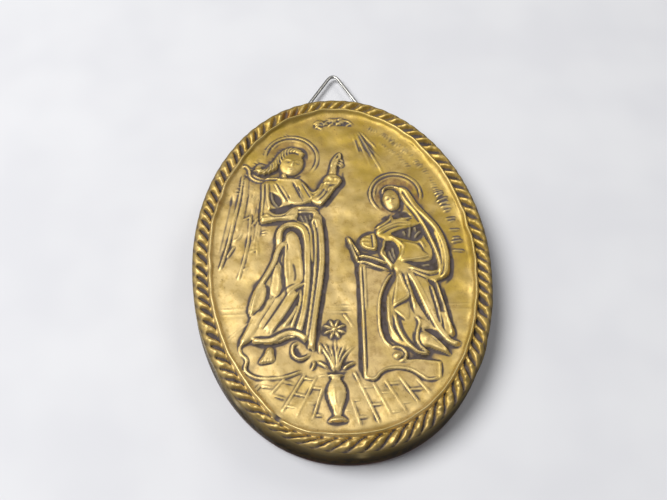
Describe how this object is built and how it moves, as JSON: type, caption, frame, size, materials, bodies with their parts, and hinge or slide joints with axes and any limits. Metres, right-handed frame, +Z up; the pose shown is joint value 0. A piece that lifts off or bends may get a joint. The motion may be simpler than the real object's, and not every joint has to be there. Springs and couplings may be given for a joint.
{
  "type": "embossed brass icon plaque",
  "caption": "Oval wall plaque of embossed brass over a wooden board: a traditional Annunciation relief in a twisted-rope border, hung by a wire triangle.",
  "frame": {"origin": "on the board's flat back, in the plane of the wall, at the middle of the oval border line", "axes": "+Z up as it hangs, the face looks along -Y, +X to the right seen from the front"},
  "size_m": [0.0952, 0.0127, 0.1509],
  "materials": {
    "embossed_brass": "aged gilt brass, dark purple-grey patina in the hollows, rubbed bright on the crests",
    "stained_wood": "dark reddish-brown stain, matt",
    "hanger_steel": "bright plated wire",
    "strap_steel": "dull zinc-plated strip",
    "nail_steel": "plain bright steel"
  },
  "bodies": {
    "root": {"embossed_cover": "embossed_brass", "backing_board": "stained_wood", "hanger_ring": "hanger_steel", "hanger_strap": "strap_steel", "strap_nail_left": "nail_steel", "strap_nail_right": "nail_steel"}
  },
  "joints": []
}
